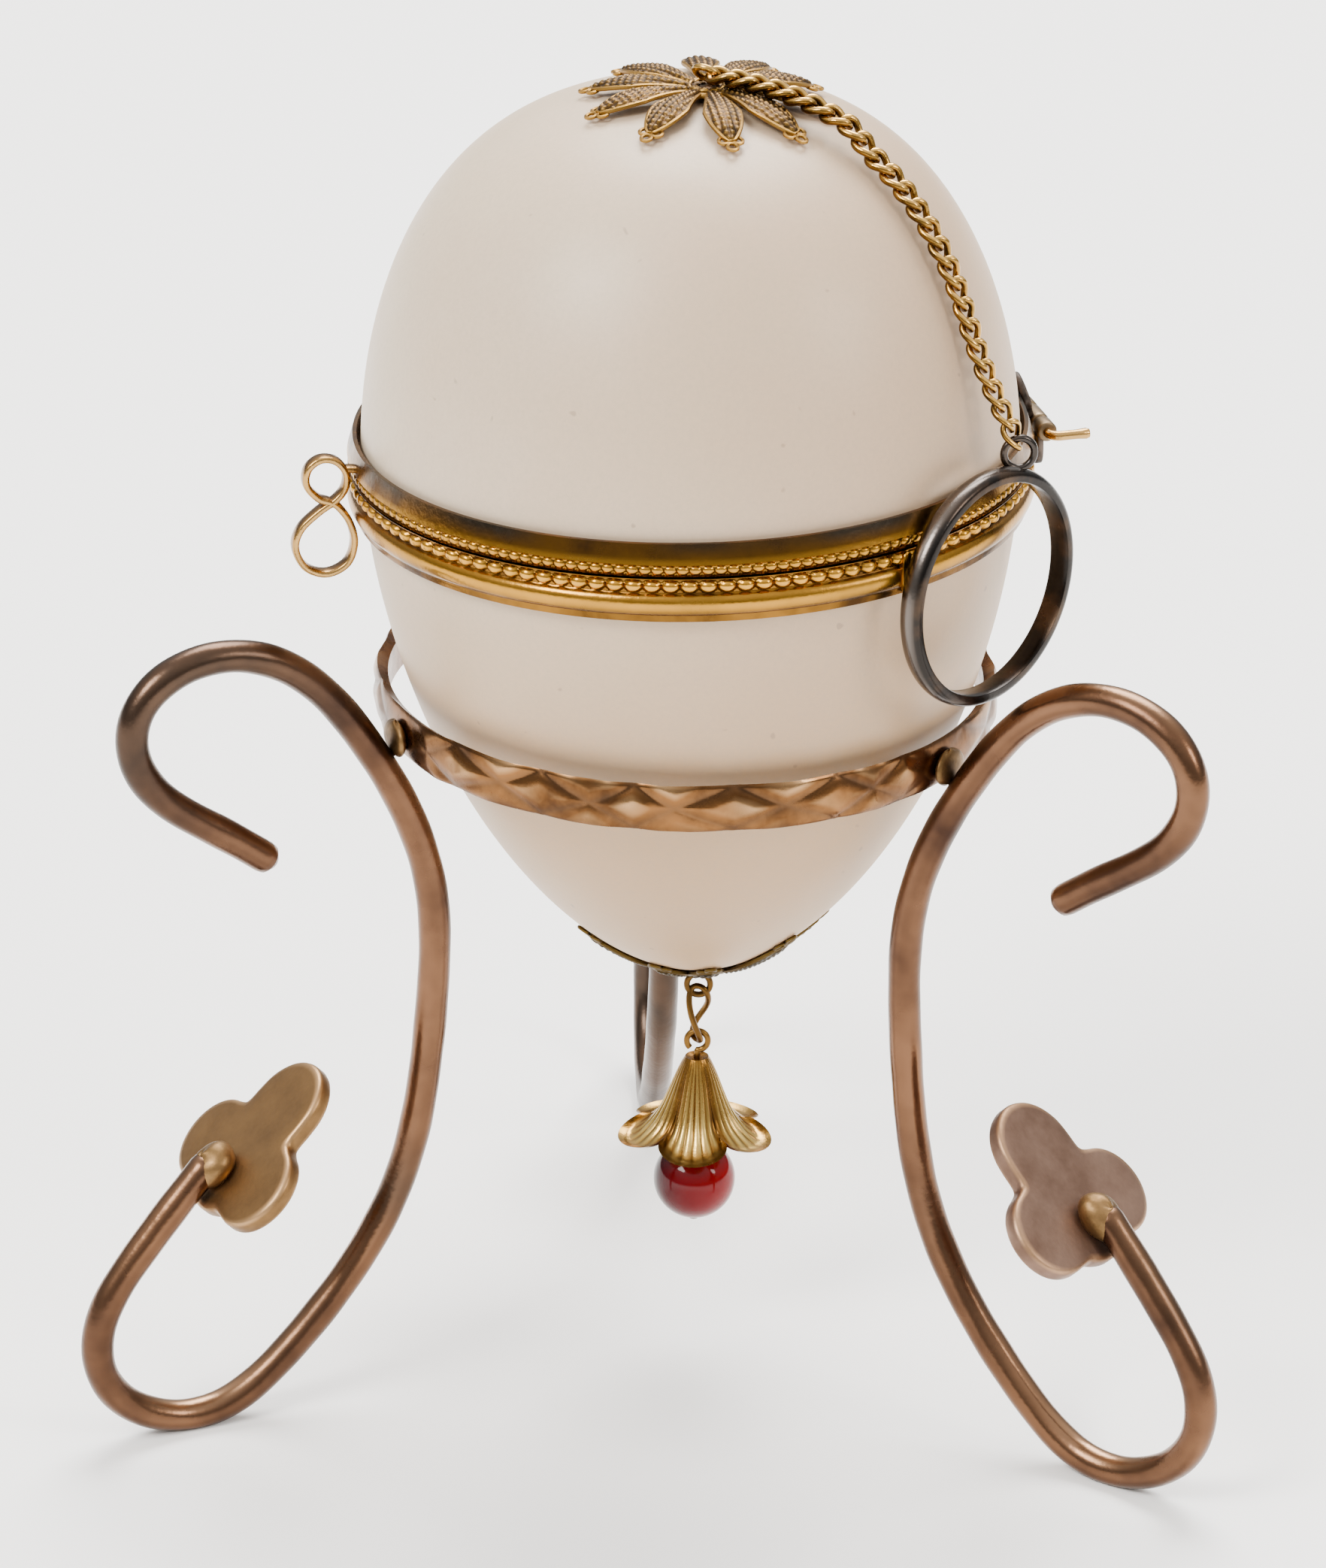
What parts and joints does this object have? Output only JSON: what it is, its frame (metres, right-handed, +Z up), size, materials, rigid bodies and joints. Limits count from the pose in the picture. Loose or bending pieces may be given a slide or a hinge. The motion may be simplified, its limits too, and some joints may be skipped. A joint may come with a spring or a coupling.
{
  "type": "egg-shaped sewing box",
  "caption": "Hinged egg box of opal glass in gilt brass rims, with a finger ring on a chain and a bell-flower drop, standing on a tripod of scrolled wire.",
  "frame": {"origin": "centre of the object's box, on the surface that its feet stand on", "axes": "+X to the right of the front view, where the finger ring hangs front right; +Y to the back; +Z up"},
  "size_m": [0.1044, 0.0956, 0.1272],
  "materials": {
    "opal_glass": "satin, off-white, faintly stained",
    "gilt_brass": "polished gilt, brown in the hollows",
    "patinated_brass": "rubbed, with a brown copper-coloured patina",
    "dark_steel": "dark, worn bright outside",
    "ruby_glass": "polished, deep red"
  },
  "bodies": {
    "root": {"glass_bowl": "opal_glass", "bowl_rim": "gilt_brass", "bowl_hinge_plate": "gilt_brass", "hinge_pin": "gilt_brass", "bottom_star": "gilt_brass", "bottom_loop": "gilt_brass", "drop_link": "gilt_brass", "bell_flower": "gilt_brass", "bead_pin": "gilt_brass", "ruby_bead": "ruby_glass", "stand_ring": "patinated_brass", "leg_left": "patinated_brass", "leg_right": "patinated_brass", "leg_back": "patinated_brass", "leaf_left": "patinated_brass", "leaf_right": "patinated_brass", "leaf_back": "patinated_brass"},
    "lid": {"glass_lid": "opal_glass", "lid_rim": "gilt_brass", "lid_hinge_plate": "gilt_brass", "thumbpiece": "gilt_brass", "top_star": "gilt_brass", "top_loop": "gilt_brass", "chain_link_01": "gilt_brass", "chain_link_02": "gilt_brass", "chain_link_03": "gilt_brass", "chain_link_04": "gilt_brass", "chain_link_05": "gilt_brass", "chain_link_06": "gilt_brass", "chain_link_07": "gilt_brass", "chain_link_08": "gilt_brass", "chain_link_09": "gilt_brass", "chain_link_10": "gilt_brass", "chain_link_11": "gilt_brass", "chain_link_12": "gilt_brass", "chain_link_13": "gilt_brass", "chain_link_14": "gilt_brass", "chain_link_15": "gilt_brass", "chain_link_16": "gilt_brass", "chain_link_17": "gilt_brass", "chain_link_18": "gilt_brass", "chain_link_19": "gilt_brass", "chain_link_20": "gilt_brass", "chain_link_21": "gilt_brass", "chain_link_22": "gilt_brass", "chain_link_23": "gilt_brass", "chain_link_24": "gilt_brass"},
    "finger_ring": {"finger_ring": "dark_steel"}
  },
  "joints": [
    {"name": "lid_hinge", "type": "hinge", "parent": "root", "child": "lid", "pos_m": [0.03413, -0.00463, 0.09104], "axis": [-0.2418, 0.9703, -0.008], "range_deg": [0, 95]},
    {"name": "ring_swing", "type": "hinge", "parent": "lid", "child": "finger_ring", "pos_m": [0.03138, -0.0291, 0.09714], "axis": [-0.2418, 0.9703, -0.008], "range_deg": [-95, 0]}
  ],
  "couplings": [
    {"joint": "ring_swing", "follows": "lid_hinge", "ratio": -1}
  ]
}
